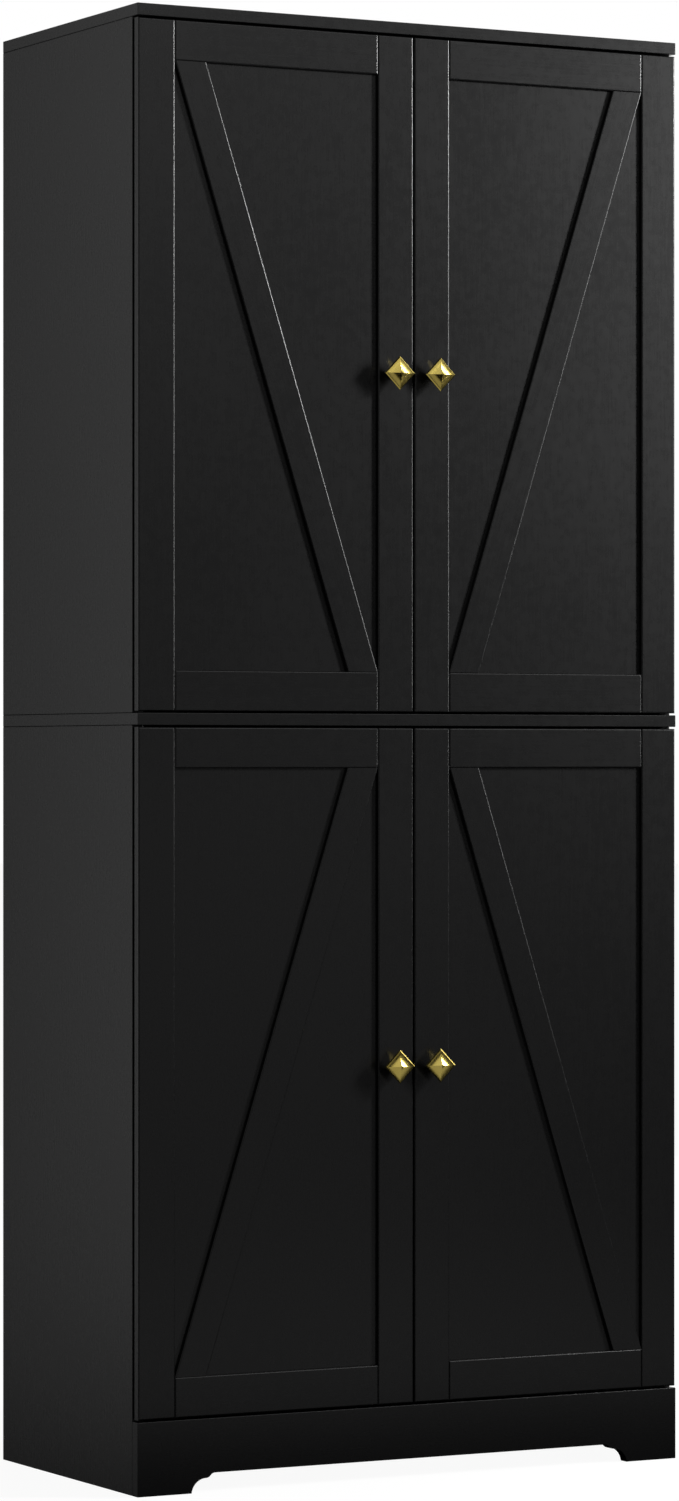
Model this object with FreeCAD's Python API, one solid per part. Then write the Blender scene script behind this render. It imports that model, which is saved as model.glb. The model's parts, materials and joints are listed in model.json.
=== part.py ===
"""Tall four-door pantry cabinet: two bays of shelves behind framed doors with diagonal braces.

Axes: +X to the right of a person facing the doors, +Y from the doors towards the back, +Z up.
Origin: on the floor, at the middle of the cabinet's outer box, knobs included.
Places are given as X across, D behind the front plane and Z above the floor, in millimetres.
The left half is modelled, and the right half is its mirror image about the plane X = 0.
"""

import FreeCAD, Part
import math
import os

Vec = FreeCAD.Vector
ACROSS = Vec(1, 0, 0)
BACK = Vec(0, 1, 0)
UP = Vec(0, 0, 1)
OUTWARD = Vec(-1, 0, 0)
FORWARD = Vec(0, -1, 0)
DOWN = Vec(0, 0, -1)
TOUCH = 1e-6

# Driving dimensions of the carcass
WIDTH = 770.0
DEPTH = 396.0
HEIGHT = 1823.0
BOARD = 15.0
SKIRT_HEIGHT = 91.0
MIDDLE_HEIGHT = 942.0
BOARD_ARRIS = 0.8
BACK_PANEL = 3.0
BACK_PANEL_AT = 388.0
GROOVE_DEPTH = 4.5
PANEL_ENGAGEMENT = 4.0

# Ogee foot of the skirt: flat toe, quarter-round cove, then a small double curve
TOE_LENGTH = 73.5
COVE_RADIUS = 20.0
COVE_HEIGHT = 18.0
CURL_LENGTH = 12.5
NOTCH_HEIGHT = 24.0

# Doors
DOOR_GAP = 2.5
DOOR_INSET = 1.0
MEETING_GAP = 2.0
DOOR_PANEL = 7.0
FRAME = 5.0
DOOR = DOOR_PANEL + FRAME
STILE = 50.0
RAIL = 50.0
BRACE = 43.3
FRAME_ARRIS = 2.0
DOOR_BACK_ARRIS = 1.5

# Shelves and the pegs that carry them
SHELVES_PER_BAY = 2
SHELF_END_GAP = 1.0
SHELF_FRONT = 20.0
SHELF_BACK = 386.0
PEG_ROWS = (62.0, 340.0)
PEG_RADIUS = 2.5
PEG_BORE = 9.0
PEG_IN_SIDE = 8.0
PEG_COLLAR_RADIUS = 4.0
PEG_COLLAR = 0.8
PEG_REACH = 8.0
HOLE_PITCH = 32.0
HOLES_EACH_WAY = 2

# Concealed hinges
HINGE_FROM_DOOR_END = 90.0
PIVOT_X = 8.0
PIVOT_D = 6.0
PIN_RADIUS = 1.0
PIN_PLAY = 0.06
PIN_HALF = 6.2
KNUCKLE_RADIUS = 1.9
KNUCKLE_HALF = 4.0
CUP_RADIUS = 17.5
CUP_DEPTH = 9.0
CUP_WALL = 0.8
CUP_EDGE = 3.0
FLANGE = 1.0
FLANGE_HALF = 27.0
FLANGE_TO = 36.0
CUP_DOWEL_RADIUS = 4.0
CUP_DOWEL_DEPTH = 6.0
CUP_DOWEL_SPREAD = 22.5
CUP_DOWEL_OFFSET = 9.5
FLANGE_CORNER = 4.0
LUG = 2.0
LUG_PAST_PIN = 2.4
LUG_CLEARANCE = 0.4
PLATE = 1.7
PLATE_AT = 52.0
PLATE_HALF_DEPTH = 8.0
PLATE_HALF_HEIGHT = 23.0
PLATE_CORNER = 3.0
PLATE_RAIL_FROM = 32.0
ARM_SHEET = 1.6
ARM_HALF = 5.5
ARM_FROM = 22.0
ARM_TO = 80.0
ARM_LIP = 5.3
ARM_LIPS_FROM = 26.0

# Wood screws for the hinge plates and the wall brackets
SCREW_RADIUS = 2.5
SCREW_HEAD_RADIUS = 4.0
SCREW_HEAD = 2.0
SCREW_CROWN = 1.2
SCREW_BELOW_HEAD = 12.5
SCREW_SPREAD = 16.0

# Cam lock, its bolt and the wooden dowels
CAM_RADIUS = 7.4
CAM_BORE_RADIUS = 7.5
CAM_DEPTH = 12.5
CAM_FROM_END = 34.0
CAM_POCKET_RADIUS = 3.8
CAM_POCKET_PAST_AXIS = 1.5
CAM_SLOT_LENGTH = 9.0
CAM_SLOT_WIDTH = 1.2
CAM_SLOT_DEPTH = 2.0
BOLT_PAST_AXIS = 1.0
BOLT_HEAD = 4.0
BOLT_HEAD_RADIUS = 3.2
BOLT_STEM_RADIUS = 2.2
BOLT_COLLAR = 10.0
BOLT_COLLAR_RADIUS = 3.4
BOLT_THREAD_RADIUS = 2.9
BOLT_THREAD = 10.5
BOLT_BORE_RADIUS = 3.6
DOWEL_RADIUS = 4.0
DOWEL_SHORT_END = 10.0
DOWEL_LONG_END = 20.0
UPPER_CAMS = (60.0, 340.0)
UPPER_DOWELS = (110.0, 290.0)
LOWER_CAMS = (85.0, 315.0)
LOWER_DOWELS = (135.0, 265.0)
SKIRT_CAM_X = 200.0
SKIRT_DOWEL_X = 300.0

# Knob: a square on its corner with a hollow-faced pyramid front, on a round neck
KNOB_X = 29.0
KNOB_HALF_DIAGONAL = 21.1
KNOB_REACH = 21.0
KNOB_TIP = 0.6
KNOB_RIM = (15.4, 16.6)
KNOB_BEVEL = 1.5
KNOB_BEVEL_RISE = 0.8
KNOB_HOLLOW_HALF = 9.5
KNOB_HOLLOW_AT = 18.7
KNOB_BACK_BEVEL = 1.2
KNOB_HEAD_HALF_AT_NECK = 6.0
KNOB_HEAD_FROM = 8.0
KNOB_FOOT_RADIUS = 8.0
KNOB_FOOT = 1.2
KNOB_FOOT_BEVEL = 1.2
KNOB_NECK_RADIUS = 5.0
KNOB_NECK_FROM = 4.0
KNOB_SCREW_RADIUS = 2.0
KNOB_SCREW_CLEARANCE = 0.1
KNOB_SCREW_IN_KNOB = 10.0
KNOB_SCREW_HEAD_RADIUS = 4.5
KNOB_SCREW_HEAD = 2.2
KNOB_SCREW_CROWN = 1.3

# Anti-tip brackets under the top board
BRACKET_X = 300.0
BRACKET_WIDTH = 20.0
BRACKET_SHEET = 2.0
BRACKET_LEG = 36.0
BRACKET_DROP = 40.0
BRACKET_HOLE_RADIUS = 2.5
WALL_HOLE_BELOW_TOP = 26.0

# Places worked out from the dimensions above
FRONT_Y = KNOB_REACH - (DEPTH + KNOB_REACH) / 2
HALF = WIDTH / 2
INNER = HALF - BOARD
TOP_UNDER = HEIGHT - BOARD
MIDDLE_TOP = MIDDLE_HEIGHT + BOARD
BOTTOM_UNDER = SKIRT_HEIGHT - BOARD
BAYS = {"upper": (MIDDLE_TOP, TOP_UNDER), "lower": (SKIRT_HEIGHT, MIDDLE_HEIGHT)}
DOOR_EDGE = -HALF + DOOR_INSET
DOOR_WIDTH = HALF - DOOR_INSET - MEETING_GAP / 2


def at(x, d, z):
    """Point at X across, D behind the front plane and Z above the floor."""
    return Vec(x, FRONT_Y + d, z)


def box(x, d, z):
    """Box between the low and high values of X, D and Z."""
    return Part.makeBox(x[1] - x[0], d[1] - d[0], z[1] - z[0], at(x[0], d[0], z[0]))


def rod(start, along, radius, length):
    """Round bar from a point along a direction."""
    return Part.makeCylinder(radius, length, start, along)


def mirrored(shape):
    """The same piece on the other side of the cabinet."""
    return shape.mirror(Vec(0, 0, 0), ACROSS)


def both_sides(shapes):
    """The given left-hand pieces with their right-hand twins."""
    return shapes + [mirrored(shape) for shape in shapes]


def eased(shape, radius, edges=None):
    """The solid with the given edges rounded, or all of them."""
    return shape.makeFillet(radius, edges or shape.Edges)


def front_edges(shape):
    """Edges that lie in the frontmost plane of a solid."""
    front = shape.BoundBox.YMin
    return [edge for edge in shape.Edges if edge.BoundBox.YMax - front < TOUCH]


def joined(first, *others):
    """One solid from pieces that overlap or meet."""
    return first.fuse(list(others)).removeSplitter()


def drilled(shape, tools):
    """The solid with every tool that reaches it cut away."""
    near = [tool for tool in tools if tool.BoundBox.intersect(shape.BoundBox)]
    return shape.cut(near) if near else shape


def board(x, d, z):
    """Square-cut board with slightly rounded arrises."""
    return eased(box(x, d, z), BOARD_ARRIS)


# Carcass boards


def side_board(z):
    """Left side between two levels, behind the doors and the skirt."""
    return board((-HALF, -INNER), (BOARD, DEPTH), z)


def back_panel(bay, reach):
    """Thin back of a bay, reaching into the boards around it by the given depth."""
    low, high = BAYS[bay]
    x = (-INNER - reach, INNER + reach)
    return box(x, (BACK_PANEL_AT, BACK_PANEL_AT + BACK_PANEL), (low - reach, high + reach))


def notch_outline():
    """Edges of the space under the skirt, from the left toe to the right toe."""
    toe = -HALF + TOE_LENGTH
    cove_end = toe + COVE_RADIUS
    curl_end = cove_end + CURL_LENGTH
    curl_rise = NOTCH_HEIGHT - COVE_HEIGHT
    half_turn = math.atan2(curl_rise, CURL_LENGTH)
    curl_radius = math.hypot(CURL_LENGTH, curl_rise) / 4 / math.sin(half_turn)
    quarter_across = curl_radius * math.sin(half_turn)
    quarter_up = curl_radius * (1 - math.cos(half_turn))
    cove_start = COVE_HEIGHT - COVE_RADIUS
    diagonal = COVE_RADIUS * math.sqrt(0.5)
    curve_points = [
        (toe, cove_start),
        (cove_end - diagonal, cove_start + diagonal),
        (cove_end, COVE_HEIGHT),
        (cove_end + quarter_across, COVE_HEIGHT + quarter_up),
        ((cove_end + curl_end) / 2, (COVE_HEIGHT + NOTCH_HEIGHT) / 2),
        (curl_end - quarter_across, NOTCH_HEIGHT - quarter_up),
        (curl_end, NOTCH_HEIGHT),
    ]
    left = [at(x, 0, z) for x, z in curve_points]
    right = [at(-x, 0, z) for x, z in curve_points]
    edges = [Part.Arc(*side[n : n + 3]).toShape() for side in (left, right) for n in (0, 2, 4)]
    edges.append(Part.makeLine(left[-1], right[-1]))
    edges.append(Part.makeLine(left[0], right[0]))
    return Part.Wire(Part.sortEdges(edges)[0])


def base_skirt():
    """Front skirt board, its lower edge cut up between two ogee feet."""
    blank = board((-HALF, HALF), (0, BOARD), (0, SKIRT_HEIGHT))
    notch = Part.Face(notch_outline()).extrude(BACK * BOARD)
    return blank.cut(notch)


def shelf_heights(bay):
    """Underside of each shelf, lowest first, sharing the bay's height equally."""
    low, high = BAYS[bay]
    clear = (high - low - SHELVES_PER_BAY * BOARD) / (SHELVES_PER_BAY + 1)
    return [low + clear * (n + 1) + BOARD * n for n in range(SHELVES_PER_BAY)]


def shelf(z):
    """Loose shelf resting on four pegs."""
    x = (-INNER + SHELF_END_GAP, INNER - SHELF_END_GAP)
    return board(x, (SHELF_FRONT, SHELF_BACK), (z, z + BOARD))


def carcass_boards():
    """Every board of the carcass, uncut, by name."""
    full = (-HALF, HALF)
    between = (-INNER, INNER)
    boards = {
        "top_board": board(full, (0, DEPTH), (TOP_UNDER, HEIGHT)),
        "middle_board": board(full, (0, DEPTH), (MIDDLE_HEIGHT, MIDDLE_TOP)),
        "bottom_board": board(between, (BOARD, DEPTH), (BOTTOM_UNDER, SKIRT_HEIGHT)),
        "upper_left_side": side_board((MIDDLE_TOP, TOP_UNDER)),
        "lower_left_side": side_board((0, MIDDLE_HEIGHT)),
        "base_skirt": base_skirt(),
        "rear_base_rail": board(between, (DEPTH - BOARD, DEPTH), (0, BOTTOM_UNDER)),
    }
    for level in ("upper", "lower"):
        boards[f"{level}_right_side"] = mirrored(boards[f"{level}_left_side"])
        boards[f"{level}_back_panel"] = back_panel(level, PANEL_ENGAGEMENT)
        for place, z in zip(("low", "high"), shelf_heights(level)):
            boards[f"{level}_shelf_{place}"] = shelf(z)
    return boards


# Shelf pegs


def peg_heights():
    """Height of the pegs under every shelf."""
    return [z - PEG_RADIUS for bay in BAYS for z in shelf_heights(bay)]


def shelf_peg(d, z):
    """Peg with a thin collar, cut flat above so that the shelf rests on the shank."""
    foot = at(-INNER - PEG_IN_SIDE, d, z)
    shank = rod(foot, ACROSS, PEG_RADIUS, PEG_IN_SIDE + PEG_COLLAR + PEG_REACH)
    collar = rod(at(-INNER, d, z), ACROSS, PEG_COLLAR_RADIUS, PEG_COLLAR)
    flat = box((-INNER, -INNER + PEG_COLLAR), (d - BOARD, d + BOARD), (z + PEG_RADIUS, z + BOARD))
    return joined(shank, collar.cut(flat))


def shelf_pegs():
    """All pegs, two rows on each side."""
    return both_sides([shelf_peg(d, z) for z in peg_heights() for d in PEG_ROWS])


def peg_holes():
    """Rows of peg holes a little way above and below every shelf."""
    steps = range(-HOLES_EACH_WAY, HOLES_EACH_WAY + 1)
    holes = [
        rod(at(-INNER - PEG_BORE, d, z + HOLE_PITCH * step), ACROSS, PEG_RADIUS, PEG_BORE)
        for z in peg_heights()
        for d in PEG_ROWS
        for step in steps
    ]
    return both_sides(holes)


# Cam locks, bolts and dowels


def frame_of(point, normal, along):
    """Placement that sends Z to the face normal and X to the direction of the bolt."""
    return FreeCAD.Placement(point, FreeCAD.Rotation(along, normal.cross(along), normal))


def cam_lock():
    """Cam drum with a cross slot on its face and a pocket for the bolt head."""
    drum = rod(Vec(0, 0, -CAM_DEPTH), UP, CAM_RADIUS, CAM_DEPTH)
    pocket_start = Vec(-CAM_POCKET_PAST_AXIS, 0, -BOARD / 2)
    pocket_length = CAM_POCKET_PAST_AXIS + CAM_RADIUS
    pocket = rod(pocket_start, ACROSS, CAM_POCKET_RADIUS, pocket_length)
    slots = [
        Part.makeBox(x, y, CAM_SLOT_DEPTH, Vec(-x / 2, -y / 2, -CAM_SLOT_DEPTH))
        for x, y in ((CAM_SLOT_LENGTH, CAM_SLOT_WIDTH), (CAM_SLOT_WIDTH, CAM_SLOT_LENGTH))
    ]
    return drum.cut([pocket, *slots])


def cam_bolt():
    """Bolt with a round head in the cam, a thin stem, a collar and a threaded end."""
    start = Vec(-BOLT_PAST_AXIS, 0, -BOARD / 2)
    head = rod(start, ACROSS, BOLT_HEAD_RADIUS, BOLT_HEAD)
    stem = rod(start, ACROSS, BOLT_STEM_RADIUS, BOLT_PAST_AXIS + CAM_FROM_END)
    collar_at = Vec(CAM_FROM_END - BOLT_COLLAR, 0, -BOARD / 2)
    collar = rod(collar_at, ACROSS, BOLT_COLLAR_RADIUS, BOLT_COLLAR)
    thread_at = Vec(CAM_FROM_END, 0, -BOARD / 2)
    thread = rod(thread_at, ACROSS, BOLT_THREAD_RADIUS, BOLT_THREAD)
    return joined(head, stem, collar, thread)


def cam_bores():
    """Bores that a cam and its bolt need in the two boards they join."""
    drum = rod(Vec(0, 0, -CAM_DEPTH), UP, CAM_BORE_RADIUS, CAM_DEPTH)
    stem = rod(Vec(0, 0, -BOARD / 2), ACROSS, BOLT_BORE_RADIUS, CAM_FROM_END)
    thread_at = Vec(CAM_FROM_END, 0, -BOARD / 2)
    thread = rod(thread_at, ACROSS, BOLT_THREAD_RADIUS, BOLT_THREAD)
    return [drum, stem, thread]


def cam_places():
    """Placements of the left-hand cams: face point, face normal and direction of the bolt."""
    places = []
    for d in UPPER_CAMS:
        places.append((at(-INNER, d, TOP_UNDER - CAM_FROM_END), ACROSS, UP))
        places.append((at(-INNER, d, MIDDLE_TOP + CAM_FROM_END), ACROSS, DOWN))
    for d in LOWER_CAMS:
        places.append((at(-INNER, d, MIDDLE_HEIGHT - CAM_FROM_END), ACROSS, UP))
        places.append((at(-INNER + CAM_FROM_END, d, BOTTOM_UNDER), DOWN, OUTWARD))
    places.append((at(-SKIRT_CAM_X, BOARD + CAM_FROM_END, BOTTOM_UNDER), DOWN, FORWARD))
    rail_face = at(-INNER + CAM_FROM_END, DEPTH - BOARD, BOTTOM_UNDER / 2)
    places.append((rail_face, FORWARD, OUTWARD))
    return [frame_of(*place) for place in places]


def placed(shape, placement):
    """A copy of the shape at a placement."""
    return shape.transformed(placement.toMatrix())


def dowel(point, along):
    """Wooden dowel through a joint face, its short end in the direction given."""
    start = point - along * DOWEL_LONG_END
    return rod(start, along, DOWEL_RADIUS, DOWEL_LONG_END + DOWEL_SHORT_END)


def dowels():
    """All dowels of the carcass, each filling its bore."""
    mid_side = -HALF + BOARD / 2
    mid_bottom = BOTTOM_UNDER + BOARD / 2
    left_hand = []
    for d in UPPER_DOWELS:
        left_hand.append(dowel(at(mid_side, d, TOP_UNDER), UP))
        left_hand.append(dowel(at(mid_side, d, MIDDLE_TOP), DOWN))
    for d in LOWER_DOWELS:
        left_hand.append(dowel(at(mid_side, d, MIDDLE_HEIGHT), UP))
        left_hand.append(dowel(at(-INNER, d, mid_bottom), OUTWARD))
    left_hand.append(dowel(at(-SKIRT_DOWEL_X, BOARD, mid_bottom), FORWARD))
    return both_sides(left_hand)


# Hinges, measured from the outer face of the left side


def inwards(x):
    """X at a distance inwards from the left outer face."""
    return -HALF + x


def door_bottom(level):
    """Height of a door's lower edge."""
    return BAYS[level][0] + DOOR_GAP


def door_height(level):
    """Height of a door between the boards above and below it."""
    low, high = BAYS[level]
    return high - low - 2 * DOOR_GAP


def hinge_heights(level):
    """Heights of the two hinges of a door."""
    low = door_bottom(level)
    return (low + HINGE_FROM_DOOR_END, low + door_height(level) - HINGE_FROM_DOOR_END)


def all_hinge_heights():
    """Heights of every hinge on one side of the cabinet."""
    return [z for level in BAYS for z in hinge_heights(level)]


def hinge_pin(z):
    """Pivot pin, upright in the cup."""
    return rod(at(inwards(PIVOT_X), PIVOT_D, z - PIN_HALF), UP, PIN_RADIUS, 2 * PIN_HALF)


def hinge_arm(z):
    """Cranked arm: knuckle on the pin, a leg out of the cup, then a channel along the side."""
    knuckle_foot = at(inwards(PIVOT_X), PIVOT_D, z - KNUCKLE_HALF)
    knuckle = rod(knuckle_foot, UP, KNUCKLE_RADIUS, 2 * KNUCKLE_HALF)
    near = inwards(BOARD + PLATE)
    far = near + ARM_SHEET
    leg_front = PIVOT_D - ARM_SHEET / 2
    leg_height = (z - KNUCKLE_HALF, z + KNUCKLE_HALF)
    leg = box((inwards(PIVOT_X), far), (leg_front, leg_front + ARM_SHEET), leg_height)
    riser = box((near, far), (leg_front, ARM_FROM + ARM_SHEET), leg_height)
    web = box((near, far), (ARM_FROM, ARM_TO), (z - ARM_HALF, z + ARM_HALF))
    lips = [
        box((near, near + ARM_LIP), (ARM_LIPS_FROM, ARM_TO), (edge, edge + ARM_SHEET))
        for edge in (z - ARM_HALF, z + ARM_HALF - ARM_SHEET)
    ]
    return joined(knuckle, leg, riser, web, *lips).cut(hinge_pin(z))


def hinge_plate(z):
    """Cross-shaped mounting plate on the inner face of the side."""
    x = (-INNER, -INNER + PLATE)
    wings_z = (z - PLATE_HALF_HEIGHT, z + PLATE_HALF_HEIGHT)
    wings = box(x, (PLATE_AT - PLATE_HALF_DEPTH, PLATE_AT + PLATE_HALF_DEPTH), wings_z)
    rail = box(x, (PLATE_RAIL_FROM, ARM_TO), (z - ARM_HALF, z + ARM_HALF))
    holes = [
        rod(at(-INNER, PLATE_AT, z + offset), ACROSS, SCREW_RADIUS, PLATE)
        for offset in (-SCREW_SPREAD, SCREW_SPREAD)
    ]
    return joined(eased(wings, PLATE_CORNER, corner_edges(wings)), rail).cut(holes)


def corner_edges(plate):
    """Edges of a plate that run across its thickness, along X."""
    return [edge for edge in plate.Edges if edge.BoundBox.XLength > PLATE / 2]


def screw(point, into):
    """Wood screw seated on a surface, its shank running in the direction given."""
    shank = rod(point, into, SCREW_RADIUS, SCREW_BELOW_HEAD)
    head = rod(point - into * SCREW_HEAD, into, SCREW_HEAD_RADIUS, SCREW_HEAD)
    crown = eased(head, SCREW_CROWN, [rim_edge(head, point - into * SCREW_HEAD)])
    return joined(crown, shank)


def rim_edge(cylinder, centre):
    """Circular edge of a cylinder around the given centre."""
    return min(
        (edge for edge in cylinder.Edges if isinstance(edge.Curve, Part.Circle)),
        key=lambda edge: edge.Curve.Center.distanceToPoint(centre),
    )


def screw_places():
    """Seat and direction of every left-hand wood screw."""
    seats = [
        (at(-INNER + PLATE, PLATE_AT, z + offset), OUTWARD)
        for z in all_hinge_heights()
        for offset in (-SCREW_SPREAD, SCREW_SPREAD)
    ]
    bracket_d = BACK_PANEL_AT - BRACKET_LEG / 2 - BRACKET_SHEET
    seats.append((at(-BRACKET_X, bracket_d, TOP_UNDER - BRACKET_SHEET), UP))
    return seats


def screw_bores():
    """Pilot holes of the wood screws."""
    return [rod(point, into, SCREW_RADIUS, SCREW_BELOW_HEAD) for point, into in screw_places()]


def cup_axis(z):
    """Centre of a hinge cup on the back of the door."""
    return at(DOOR_EDGE + CUP_EDGE + CUP_RADIUS, DOOR, z)


def hinge_cup(z):
    """Cup with a flange and two push-in dowels, and two lugs that hold the pin."""
    centre = cup_axis(z)
    shell = rod(centre, FORWARD, CUP_RADIUS, CUP_DEPTH)
    flange_x = (DOOR_EDGE + CUP_EDGE, DOOR_EDGE + FLANGE_TO)
    flange = box(flange_x, (DOOR, DOOR + FLANGE), (z - FLANGE_HALF, z + FLANGE_HALF))
    corners = [edge for edge in flange.Edges if edge.BoundBox.YLength > FLANGE / 2]
    outer = joined(
        shell,
        rod(centre, BACK, CUP_RADIUS, FLANGE),
        eased(flange, FLANGE_CORNER, corners),
        *cup_dowels(z),
    )
    hollow_radius = CUP_RADIUS - CUP_WALL
    hollow = rod(centre + BACK * FLANGE, FORWARD, hollow_radius, CUP_DEPTH + FLANGE - CUP_WALL)
    inside = rod(centre, FORWARD, CUP_RADIUS - CUP_WALL / 2, CUP_DEPTH)
    lugs = [lug.common(inside) for lug in pin_lugs(z)]
    bore_half = KNUCKLE_HALF + LUG_CLEARANCE + LUG
    bore_foot = at(inwards(PIVOT_X), PIVOT_D, z - bore_half)
    bore = rod(bore_foot, UP, PIN_RADIUS + PIN_PLAY, 2 * bore_half)
    return joined(outer.cut(hollow), *lugs).cut(bore)


def pin_lugs(z):
    """Blocks above and below the arm's knuckle, reaching from the cup's floor around the pin."""
    x = (DOOR_EDGE + CUP_EDGE + CUP_WALL, inwards(PIVOT_X) + LUG_PAST_PIN)
    d = (DOOR - CUP_DEPTH + CUP_WALL / 2, PIVOT_D + LUG_PAST_PIN)
    near = KNUCKLE_HALF + LUG_CLEARANCE
    return [box(x, d, (foot, foot + LUG)) for foot in (z - near - LUG, z + near)]


def cup_dowels(z):
    """The two push-in dowels of a cup, in the back of the door."""
    x = DOOR_EDGE + CUP_EDGE + CUP_RADIUS + CUP_DOWEL_OFFSET
    points = [at(x, DOOR, z + offset) for offset in (-CUP_DOWEL_SPREAD, CUP_DOWEL_SPREAD)]
    return [rod(point, FORWARD, CUP_DOWEL_RADIUS, CUP_DOWEL_DEPTH) for point in points]


def cup_bores(z):
    """Bores that a hinge cup needs in the back of the door."""
    return [rod(cup_axis(z), FORWARD, CUP_RADIUS, CUP_DEPTH), *cup_dowels(z)]


# Doors, the left-hand ones


def long_front_edges(shape):
    """Front edges along a brace, without its square-cut ends."""
    return [edge for edge in front_edges(shape) if edge.Length > 2 * RAIL]


def framing(x, z):
    """Stile or rail on the front of a door, all its front arrises rounded."""
    piece = box(x, (0, FRAME), z)
    return eased(piece, FRAME_ARRIS, front_edges(piece))


def brace(level):
    """Diagonal between the rails: from the hinge side down to the meeting side, or the reverse."""
    hinge_x = DOOR_EDGE + STILE
    meeting_x = DOOR_EDGE + DOOR_WIDTH - STILE - BRACE
    foot_x, head_x = (meeting_x, hinge_x) if level == "upper" else (hinge_x, meeting_x)
    low = door_bottom(level) + RAIL
    high = door_bottom(level) + door_height(level) - RAIL
    corners = [at(foot_x, 0, low), at(foot_x + BRACE, 0, low)]
    corners += [at(head_x + BRACE, 0, high), at(head_x, 0, high)]
    piece = Part.Face(Part.makePolygon(corners + corners[:1])).extrude(BACK * FRAME)
    return eased(piece, FRAME_ARRIS, long_front_edges(piece))


def door_panel(x, z):
    """Plain backing panel, its back arris on the hinge side rounded more to clear the carcass."""
    piece = box(x, (FRAME, DOOR), z)
    outer_edges = [edge for edge in piece.Edges if edge.BoundBox.XMax - x[0] < TOUCH]
    back = piece.BoundBox.YMax
    hinge_edge = [edge for edge in outer_edges if back - edge.BoundBox.YMin < TOUCH]
    return eased(piece, DOOR_BACK_ARRIS, hinge_edge)


def knob_centre(level):
    """Point on the front of a door at the middle of its knob."""
    return at(-KNOB_X, 0, door_bottom(level) + door_height(level) / 2)


def diamond(centre, half, reach):
    """Square on its corner, parallel to the door and a given distance in front of it."""
    middle = centre - BACK * reach
    spokes = [ACROSS * half, UP * half, ACROSS * -half, UP * -half]
    points = [middle + spoke for spoke in spokes]
    return Part.makePolygon(points + points[:1])


def knob_head(centre):
    """Square head: tapering back, thin rim, narrow bevel and four hollow facets up to the tip."""
    face_half = KNOB_HALF_DIAGONAL - KNOB_BEVEL
    face_from = KNOB_RIM[1] + KNOB_BEVEL_RISE
    rim_sections = [
        (KNOB_HEAD_HALF_AT_NECK, KNOB_HEAD_FROM),
        (KNOB_HALF_DIAGONAL - KNOB_BACK_BEVEL, KNOB_RIM[0] - KNOB_BEVEL_RISE),
        (KNOB_HALF_DIAGONAL, KNOB_RIM[0]),
        (KNOB_HALF_DIAGONAL, KNOB_RIM[1]),
        (face_half, face_from),
    ]
    facet_sections = [
        (face_half, face_from),
        (KNOB_HOLLOW_HALF, KNOB_HOLLOW_AT),
        (KNOB_TIP, KNOB_REACH),
    ]
    rim = Part.makeLoft([diamond(centre, *section) for section in rim_sections], True, True)
    facets = Part.makeLoft([diamond(centre, *section) for section in facet_sections], True, False)
    return rim.fuse(facets)


def knob_stem(centre):
    """Round foot against the door and the neck up to the head."""
    foot_rim = KNOB_FOOT + KNOB_FOOT_BEVEL
    neck_end = KNOB_RIM[0] - KNOB_BEVEL_RISE
    profile = [
        (0, 0),
        (KNOB_FOOT_RADIUS, 0),
        (KNOB_FOOT_RADIUS, KNOB_FOOT),
        (KNOB_FOOT_RADIUS - KNOB_FOOT_BEVEL, foot_rim),
        (KNOB_NECK_RADIUS, KNOB_NECK_FROM),
        (KNOB_NECK_RADIUS, neck_end),
        (0, neck_end),
    ]
    points = [centre + ACROSS * radius - BACK * reach for radius, reach in profile]
    section = Part.Face(Part.makePolygon(points + points[:1]))
    return section.revolve(centre, BACK, 360)


def knob(level):
    """Knob with a hole in its foot for the screw."""
    centre = knob_centre(level)
    tapped = rod(centre, FORWARD, KNOB_SCREW_RADIUS, KNOB_SCREW_IN_KNOB)
    return joined(knob_head(centre), knob_stem(centre)).cut(tapped)


def knob_screw(level):
    """Screw from the back of the door into the knob."""
    seat = knob_centre(level) + BACK * DOOR
    outer = seat + BACK * KNOB_SCREW_HEAD
    head = rod(outer, FORWARD, KNOB_SCREW_HEAD_RADIUS, KNOB_SCREW_HEAD)
    crown = eased(head, KNOB_SCREW_CROWN, [rim_edge(head, outer)])
    shank = rod(seat, FORWARD, KNOB_SCREW_RADIUS, DOOR + KNOB_SCREW_IN_KNOB)
    return joined(crown, shank)


def door_bores(level):
    """Everything cut out of a door for its hinges and its knob."""
    bores = [bore for z in hinge_heights(level) for bore in cup_bores(z)]
    radius = KNOB_SCREW_RADIUS + KNOB_SCREW_CLEARANCE
    bores.append(rod(knob_centre(level), BACK, radius, DOOR))
    return bores


def left_door(level):
    """All pieces of a left-hand door, by name."""
    x0, x1 = DOOR_EDGE, DOOR_EDGE + DOOR_WIDTH
    z0, z1 = door_bottom(level), door_bottom(level) + door_height(level)
    inner_x = (x0 + STILE, x1 - STILE)
    bores = door_bores(level)
    cups = [hinge_cup(z) for z in hinge_heights(level)]
    return {
        "door_panel": drilled(door_panel((x0, x1), (z0, z1)), bores),
        "hinge_stile": drilled(framing((x0, x0 + STILE), (z0, z1)), bores),
        "meeting_stile": drilled(framing((x1 - STILE, x1), (z0, z1)), bores),
        "top_rail": framing(inner_x, (z1 - RAIL, z1)),
        "bottom_rail": framing(inner_x, (z0, z0 + RAIL)),
        "brace": brace(level),
        "knob": knob(level),
        "knob_screw": knob_screw(level),
        "hinge_cups": Part.makeCompound(cups),
    }


def doors():
    """All four doors: the right-hand ones mirror the left-hand ones."""
    pieces = {}
    for level in BAYS:
        for name, shape in left_door(level).items():
            pieces[f"{level}_left_{name}"] = shape
            pieces[f"{level}_right_{name}"] = mirrored(shape)
    return pieces


# Wall brackets


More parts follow.
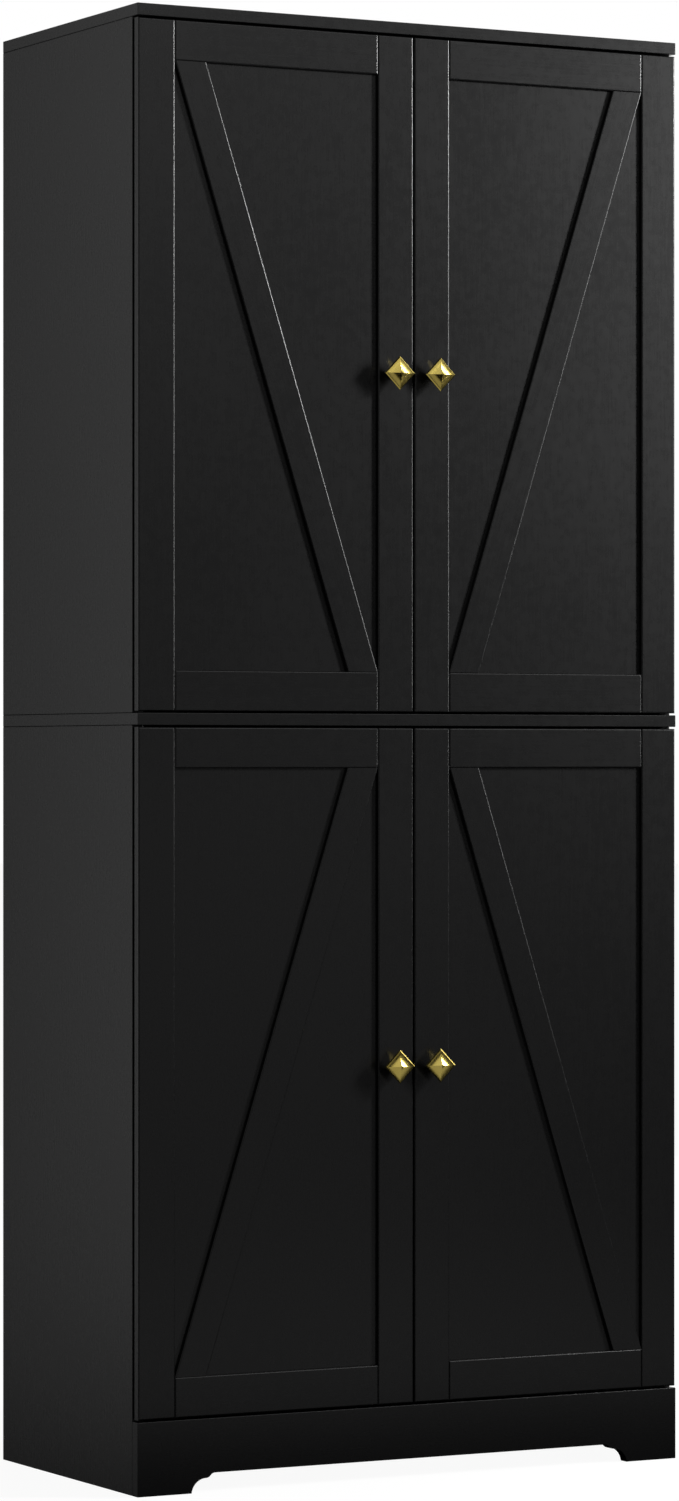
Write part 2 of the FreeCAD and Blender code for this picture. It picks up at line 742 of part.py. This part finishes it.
def wall_bracket():
    """Steel angle under the top board, one leg against the back panel."""
    x = (-BRACKET_X - BRACKET_WIDTH / 2, -BRACKET_X + BRACKET_WIDTH / 2)
    front = BACK_PANEL_AT - BRACKET_LEG
    flat = box(x, (front, BACK_PANEL_AT), (TOP_UNDER - BRACKET_SHEET, TOP_UNDER))
    leg_d = (BACK_PANEL_AT - BRACKET_SHEET, BACK_PANEL_AT)
    leg = box(x, leg_d, (TOP_UNDER - BRACKET_DROP, TOP_UNDER))
    return joined(flat, leg).cut(screw_bores() + [wall_hole()])


def wall_hole():
    """Hole for a wall screw through the bracket and the back panel."""
    start = at(-BRACKET_X, BACK_PANEL_AT - BRACKET_SHEET, TOP_UNDER - WALL_HOLE_BELOW_TOP)
    return rod(start, BACK, BRACKET_HOLE_RADIUS, BRACKET_SHEET + BACK_PANEL)


# The whole cabinet


def fittings():
    """Hinges, pegs and fasteners of the carcass, each kind as one group."""
    heights = all_hinge_heights()
    cams = [placed(cam_lock(), place) for place in cam_places()]
    bolts = [placed(cam_bolt(), place) for place in cam_places()]
    screws = [screw(point, into) for point, into in screw_places()]
    groups = {
        "shelf_pegs": shelf_pegs(),
        "hinge_plates": both_sides([hinge_plate(z) for z in heights]),
        "hinge_arms": both_sides([hinge_arm(z) for z in heights]),
        "hinge_pins": both_sides([hinge_pin(z) for z in heights]),
        "wood_screws": both_sides(screws),
        "cam_locks": both_sides(cams),
        "cam_bolts": both_sides(bolts),
        "dowels": dowels(),
        "wall_brackets": both_sides([wall_bracket()]),
    }
    return {name: Part.makeCompound(shapes) for name, shapes in groups.items()}


def carcass_bores():
    """Every hole in the carcass boards."""
    cams = [placed(bore, place) for place in cam_places() for bore in cam_bores()]
    left_hand = cams + screw_bores() + [wall_hole()]
    return both_sides(left_hand) + peg_holes() + dowels()


def pieces():
    """Every piece of the cabinet, by name."""
    bores = carcass_bores()
    grooves = [back_panel(bay, GROOVE_DEPTH) for bay in BAYS]
    made = {}
    for name, shape in carcass_boards().items():
        cutters = bores if name.endswith("back_panel") else bores + grooves
        made[name] = drilled(shape, cutters)
    made.update(fittings())
    made.update(doors())
    return made


def main():
    os.makedirs("parts", exist_ok=True)
    for name, shape in pieces().items():
        shape.exportStep(f"parts/{name}.step")


main()
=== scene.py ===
import json
import math

import bpy
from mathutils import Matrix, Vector


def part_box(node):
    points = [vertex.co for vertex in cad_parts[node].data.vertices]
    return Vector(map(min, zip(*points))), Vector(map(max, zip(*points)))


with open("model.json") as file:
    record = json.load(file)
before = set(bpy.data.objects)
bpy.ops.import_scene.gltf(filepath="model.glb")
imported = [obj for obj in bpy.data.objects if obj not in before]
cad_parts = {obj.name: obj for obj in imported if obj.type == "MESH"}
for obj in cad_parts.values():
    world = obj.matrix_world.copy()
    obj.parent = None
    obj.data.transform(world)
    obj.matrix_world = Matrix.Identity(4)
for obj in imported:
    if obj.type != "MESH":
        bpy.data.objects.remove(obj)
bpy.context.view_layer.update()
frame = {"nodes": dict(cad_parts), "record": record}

# Tones, from dark to light
BLACK_DARK = (0.0030, 0.0030, 0.0031)
BLACK_LIGHT = (0.0052, 0.0052, 0.0054)
INNER_DARK = (0.020, 0.020, 0.021)
INNER_LIGHT = (0.034, 0.034, 0.035)
BRASS_DARK = (0.88, 0.67, 0.15)
BRASS_LIGHT = (0.95, 0.76, 0.21)
BEECH_DARK = (0.42, 0.27, 0.14)
BEECH_LIGHT = (0.66, 0.47, 0.29)
FLOOR_DARK = (0.1, 0.1, 0.1)
FLOOR_LIGHT = (0.101, 0.101, 0.101)

# Plated metals: dark tone, light tone, and roughness from the pattern's low to its high end
PLATINGS = {
    "zinc": ((0.48, 0.48, 0.47), (0.62, 0.62, 0.61), (0.35, 0.5)),
    "steel": ((0.55, 0.55, 0.56), (0.68, 0.68, 0.69), (0.22, 0.34)),
}

# Roughness of the other materials, likewise
FOIL_ROUGHNESS = (0.31, 0.24)
BRASS_ROUGHNESS = (0.12, 0.18)
BEECH_ROUGHNESS = (0.55, 0.75)
FOIL_SPECULAR = 0.45

# Noise for each pattern: scale, detail and roughness
FOIL_STREAKS = (420.0, 4.0, 0.6)
FOIL_PORES = (1500.0, 2.0, 0.5)
FOIL_CLOUDS = (5.0, 3.0, 0.5)
FOIL_MOTTLE = (80.0, 3.0, 0.6)
BRASS_RUB = (900.0, 3.0, 0.6)
BRASS_CLOUD = (60.0, 2.0, 0.5)
PLATED_LINES = (1200.0, 3.0, 0.6)
PLATED_CLOUD = (90.0, 2.0, 0.5)
BEECH_FIBRES = (1100.0, 4.0, 0.6)
FLOOR_CLOUD = (0.8, 2.0, 0.5)

# Shares in the foil's pattern: streaks in the grain, mottle in the soft tone, grain in the whole
STREAK_SHARE = 0.6
MOTTLE_SHARE = 0.6
GRAIN_SHARE = 0.4

# How much of a pattern is left along its grain, and the step of each board's own place in it
FOIL_STRETCH = 0.03
METAL_STRETCH = 0.1
FINE_STRETCH = 0.08
SHIFT_STEP = (0.37, 0.21, 0.53)

# Parts of a noise's range that carry a material's roughness and the foil's tone
WIDE = (0.3, 0.7)
NARROW = (0.35, 0.65)

# Relief: strength, and depth in metres
FOIL_RELIEF = (0.08, 0.0002)
BRASS_RELIEF = (0.05, 0.0001)
PLATED_RELIEF = (0.2, 0.0001)
BEECH_RELIEF = (0.3, 0.0002)

# Width of a diagonal brace along the rails, in metres
BRACE_WIDTH = 0.0433

# Softboxes: name, point aimed at, azimuth to the right of the front normal and elevation in degrees,
# distance, width and height in metres, and radiance
MIDDLE = (0.0, -0.2, 1.0)
UPPER_DOORS = (0.0, -0.19, 1.35)
FLOOR_FRONT = (0.2, -1.5, 1.002)
SOFTBOXES = (
    ("key", UPPER_DOORS, 59.0, 16.0, 3.2, 0.5, 0.5, 100.0),
    ("tall_key", UPPER_DOORS, 59.0, 5.5, 3.2, 0.5, 1.4, 19.0),
    ("high_front", MIDDLE, 30.0, 35.0, 5.0, 2.2, 2.2, 1.2),
    ("right", MIDDLE, 95.0, 27.0, 4.0, 2.0, 2.0, 4.0),
    ("front", MIDDLE, 3.0, 24.0, 5.0, 3.5, 3.0, 0.5),
    ("low_front", MIDDLE, 18.0, -6.0, 5.0, 2.2, 1.0, 0.24),
    ("left", MIDDLE, -120.0, 8.0, 4.5, 4.0, 4.0, 0.7),
    ("back_left", MIDDLE, -130.0, 7.0, 4.5, 4.5, 4.3, 0.265),
    ("floor_bounce", FLOOR_FRONT, 0.0, -90.0, 1.0, 2.2, 1.6, 0.3),
    ("front_left", MIDDLE, -52.0, 12.0, 5.0, 3.5, 4.0, 0.35),
    ("back_right", MIDDLE, 140.0, 14.0, 5.0, 5.0, 4.5, 0.8),
)

# Floor: radius in metres, roughness, and how strongly it lights itself
FLOOR_RADIUS = 40.0
FLOOR_ROUGHNESS = 0.9
FLOOR_GLOW = 0.94

# Camera: lens and sensor in millimetres, distances in metres from the front left corner of the top
# board, height above the floor, and heading in degrees
CAMERA_SENSOR = 36.0
CAMERA_LENS = 125.57
CAMERA_SHIFT = 0.0082
CAMERA_REACH = 200.0
CAMERA_LEFT = 2.7899
CAMERA_FRONT = 5.7452
CAMERA_HEIGHT = 0.8958
CAMERA_HEADING = -28.11


# ---------------------------------------------------------------- node helpers


def new_material(name):
    """An empty node material with its output and Principled shader."""
    material = bpy.data.materials.new(name)
    material.use_nodes = True
    tree = material.node_tree
    tree.nodes.clear()
    output = tree.nodes.new("ShaderNodeOutputMaterial")
    shader = tree.nodes.new("ShaderNodeBsdfPrincipled")
    tree.links.new(shader.outputs["BSDF"], output.inputs["Surface"])
    return material, tree, shader


def noise(tree, vector, kind):
    """Noise texture's factor, read at a vector; the kind is its scale, detail and roughness."""
    node = tree.nodes.new("ShaderNodeTexNoise")
    for name, number in zip(("Scale", "Detail", "Roughness"), kind):
        node.inputs[name].default_value = number
    tree.links.new(vector, node.inputs["Vector"])
    return node.outputs["Fac"]


def spread(tree, value, from_range, to_range):
    """A value carried from one range to another, clamped."""
    node = tree.nodes.new("ShaderNodeMapRange")
    limits = (*from_range, *to_range)
    for name, number in zip(("From Min", "From Max", "To Min", "To Max"), limits):
        node.inputs[name].default_value = number
    tree.links.new(value, node.inputs["Value"])
    return node.outputs["Result"]


def maths(tree, operation, first, second):
    """One step of arithmetic on a value and another value or a number."""
    node = tree.nodes.new("ShaderNodeMath")
    node.operation = operation
    tree.links.new(first, node.inputs[0])
    if isinstance(second, float):
        node.inputs[1].default_value = second
    else:
        tree.links.new(second, node.inputs[1])
    return node.outputs["Value"]


def mixed(tree, first, second, first_share):
    """Two values added, the first with its share and the second with the rest."""
    first_part = maths(tree, "MULTIPLY", first, first_share)
    second_part = maths(tree, "MULTIPLY", second, 1.0 - first_share)
    return maths(tree, "ADD", first_part, second_part)


def two_colours(tree, factor, dark, light):
    """Colour that runs from dark to light with the factor."""
    node = tree.nodes.new("ShaderNodeValToRGB")
    node.color_ramp.elements[0].color = (*dark, 1.0)
    node.color_ramp.elements[1].color = (*light, 1.0)
    tree.links.new(factor, node.inputs["Fac"])
    return node.outputs["Color"]


def bump(tree, shader, height, relief):
    """Small relief on the shader's normal."""
    node = tree.nodes.new("ShaderNodeBump")
    for name, number in zip(("Strength", "Distance"), relief):
        node.inputs[name].default_value = number
    tree.links.new(height, node.inputs["Height"])
    tree.links.new(node.outputs["Normal"], shader.inputs["Normal"])


def grain_space(tree, angle, shift, along):
    """Object space turned about Y and moved, plain and with the grain drawn out along Z."""
    source = tree.nodes.new("ShaderNodeTexCoord")
    turn = tree.nodes.new("ShaderNodeMapping")
    turn.vector_type = "POINT"
    turn.inputs["Rotation"].default_value = (0.0, angle, 0.0)
    turn.inputs["Location"].default_value = shift
    tree.links.new(source.outputs["Object"], turn.inputs["Vector"])
    stretch = tree.nodes.new("ShaderNodeMapping")
    stretch.inputs["Scale"].default_value = (1.0, 1.0, along)
    tree.links.new(turn.outputs["Vector"], stretch.inputs["Vector"])
    return turn.outputs["Vector"], stretch.outputs["Vector"]


# ---------------------------------------------------------------- materials


def foil_tones(node):
    """Dark and light tone of a board: shelves and backs are a plainer, less deep black."""
    plain_black = "shelf_" in node or "back_panel" in node or node == "bottom_board"
    return (INNER_DARK, INNER_LIGHT) if plain_black else (BLACK_DARK, BLACK_LIGHT)


def black_foil(name, tones, angle, shift):
    """Satin black foil on board: faint wood grain in tone, gloss and relief."""
    material, tree, shader = new_material(name)
    plain, stretched = grain_space(tree, angle, shift, FOIL_STRETCH)
    streaks = noise(tree, stretched, FOIL_STREAKS)
    pores = noise(tree, stretched, FOIL_PORES)
    clouds = noise(tree, plain, FOIL_CLOUDS)
    mottle = noise(tree, plain, FOIL_MOTTLE)
    grain = mixed(tree, streaks, pores, STREAK_SHARE)
    soft = mixed(tree, mottle, clouds, MOTTLE_SHARE)
    pattern = mixed(tree, grain, soft, GRAIN_SHARE)
    tone = spread(tree, pattern, NARROW, (0.0, 1.0))
    tree.links.new(two_colours(tree, tone, *tones), shader.inputs["Base Color"])
    tree.links.new(spread(tree, pattern, WIDE, FOIL_ROUGHNESS), shader.inputs["Roughness"])
    shader.inputs["Specular IOR Level"].default_value = FOIL_SPECULAR
    bump(tree, shader, grain, FOIL_RELIEF)
    return material


def polished_brass(name, shift):
    """Polished brass with a slight hand-rubbed haze."""
    material, tree, shader = new_material(name)
    plain, stretched = grain_space(tree, 0.0, shift, FINE_STRETCH)
    rub = noise(tree, stretched, BRASS_RUB)
    cloud = noise(tree, plain, BRASS_CLOUD)
    tree.links.new(two_colours(tree, cloud, BRASS_DARK, BRASS_LIGHT), shader.inputs["Base Color"])
    tree.links.new(spread(tree, rub, WIDE, BRASS_ROUGHNESS), shader.inputs["Roughness"])
    shader.inputs["Metallic"].default_value = 1.0
    bump(tree, shader, rub, BRASS_RELIEF)
    return material


def plated_metal(name, dark, light, roughness, shift):
    """Plated or die-cast hardware with faint drawing lines."""
    material, tree, shader = new_material(name)
    plain, stretched = grain_space(tree, 0.0, shift, METAL_STRETCH)
    lines = noise(tree, stretched, PLATED_LINES)
    cloud = noise(tree, plain, PLATED_CLOUD)
    tree.links.new(two_colours(tree, cloud, dark, light), shader.inputs["Base Color"])
    tree.links.new(spread(tree, lines, WIDE, roughness), shader.inputs["Roughness"])
    shader.inputs["Metallic"].default_value = 1.0
    bump(tree, shader, lines, PLATED_RELIEF)
    return material


def bare_beech(name):
    """Pale dowel wood with short fibres."""
    material, tree, shader = new_material(name)
    _, stretched = grain_space(tree, 0.0, (0.0, 0.0, 0.0), FINE_STRETCH)
    fibres = noise(tree, stretched, BEECH_FIBRES)
    tree.links.new(two_colours(tree, fibres, BEECH_DARK, BEECH_LIGHT), shader.inputs["Base Color"])
    tree.links.new(spread(tree, fibres, WIDE, BEECH_ROUGHNESS), shader.inputs["Roughness"])
    bump(tree, shader, fibres, BEECH_RELIEF)
    return material


def brace_angle(node):
    """Turn about Y that brings a diagonal brace upright."""
    low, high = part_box(node)
    run = high.x - low.x - BRACE_WIDTH
    lean = math.atan2(run, high.z - low.z)
    leans_right = node.startswith("upper_right") or node.startswith("lower_left")
    return -lean if leans_right else lean


def grain_angle(node):
    """Turn about Y that brings a board's grain upright."""
    if node.endswith("brace"):
        return brace_angle(node)
    level = ("top_board", "middle_board", "bottom_board", "base_skirt", "base_rail")
    lies = node.endswith(level) or "shelf_" in node or node.endswith("_rail")
    return math.pi / 2 if lies else 0.0


def dress(node, slot, index):
    """Gives a CAD node its detailed material."""
    shift = [step * index for step in SHIFT_STEP]
    if slot in ("board_finish", "door_finish", "back_finish"):
        material = black_foil(f"foil_{node}", foil_tones(node), grain_angle(node), shift)
    elif slot == "brass":
        material = polished_brass(f"brass_{node}", shift)
    elif slot in PLATINGS:
        material = plated_metal(f"{slot}_{node}", *PLATINGS[slot], shift)
    else:
        material = bare_beech(f"beech_{node}")
    for holder in frame["nodes"][node].material_slots:
        holder.material = material


def dress_all():
    """Dresses every CAD node, in the order of their names."""
    slots = {part["node"]: part["material_slot"] for part in frame["record"]["subparts"]}
    for index, node in enumerate(sorted(slots)):
        dress(node, slots[node], index)


# ---------------------------------------------------------------- stage, lights and camera


def pale_floor():
    """Matt floor that is mostly lit by itself, so that it stays pale under any light."""
    material, tree, shader = new_material("pale_floor")
    plain, _ = grain_space(tree, 0.0, (0.0, 0.0, 0.0), 1.0)
    cloud = noise(tree, plain, FLOOR_CLOUD)
    tree.links.new(two_colours(tree, cloud, FLOOR_DARK, FLOOR_LIGHT), shader.inputs["Base Color"])
    shader.inputs["Roughness"].default_value = FLOOR_ROUGHNESS
    shader.inputs["Specular IOR Level"].default_value = 0.0
    shader.inputs["Emission Color"].default_value = (1.0, 1.0, 1.0, 1.0)
    shader.inputs["Emission Strength"].default_value = FLOOR_GLOW
    return material


def make_floor():
    """Pale floor around the cabinet."""
    bpy.ops.mesh.primitive_circle_add(vertices=96, radius=FLOOR_RADIUS, fill_type="NGON")
    floor = bpy.context.object
    floor.name = "floor"
    floor.data.materials.append(pale_floor())
    floor.visible_diffuse = False
    floor.visible_glossy = False


def make_world():
    """White surround that the camera sees, but that lights nothing."""
    world = bpy.data.worlds.new("white_surround")
    bpy.context.scene.world = world
    world.use_nodes = True
    background = world.node_tree.nodes["Background"]
    background.inputs["Color"].default_value = (1.0, 1.0, 1.0, 1.0)
    background.inputs["Strength"].default_value = 1.0
    world.cycles_visibility.diffuse = False
    world.cycles_visibility.glossy = False


def soft_box(name, target, azimuth, elevation, distance, width, height, radiance):
    """Area light aimed at a point from a given direction and distance."""
    light = bpy.data.lights.new(name, "AREA")
    light.shape = "RECTANGLE"
    light.size = width
    light.size_y = height
    light.energy = math.pi * width * height * radiance
    holder = bpy.data.objects.new(name, light)
    bpy.context.scene.collection.objects.link(holder)
    turn = math.radians(azimuth)
    lift = math.radians(elevation)
    towards = Vector((math.sin(turn) * math.cos(lift), -math.cos(turn) * math.cos(lift), math.sin(lift)))
    holder.location = Vector(target) + distance * towards
    holder.rotation_euler = (-towards).to_track_quat("-Z", "Y").to_euler()
    holder.visible_camera = False


def make_lights():
    """All the softboxes of the studio."""
    for softbox in SOFTBOXES:
        soft_box(*softbox)


def make_camera():
    """Level camera at the left front, with a long lens."""
    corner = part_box("top_board")[0]
    camera = bpy.data.cameras.new("camera")
    camera.sensor_width = CAMERA_SENSOR
    camera.lens = CAMERA_LENS
    camera.shift_y = CAMERA_SHIFT
    camera.clip_end = CAMERA_REACH
    holder = bpy.data.objects.new("camera", camera)
    bpy.context.scene.collection.objects.link(holder)
    holder.location = (corner.x - CAMERA_LEFT, corner.y - CAMERA_FRONT, CAMERA_HEIGHT)
    holder.rotation_euler = (math.radians(90.0), 0.0, math.radians(CAMERA_HEADING))
    bpy.context.scene.camera = holder


dress_all()
make_floor()
make_world()
make_lights()
make_camera()
bpy.context.scene.view_settings.view_transform = "Standard"
bpy.context.scene.cycles.caustics_reflective = False
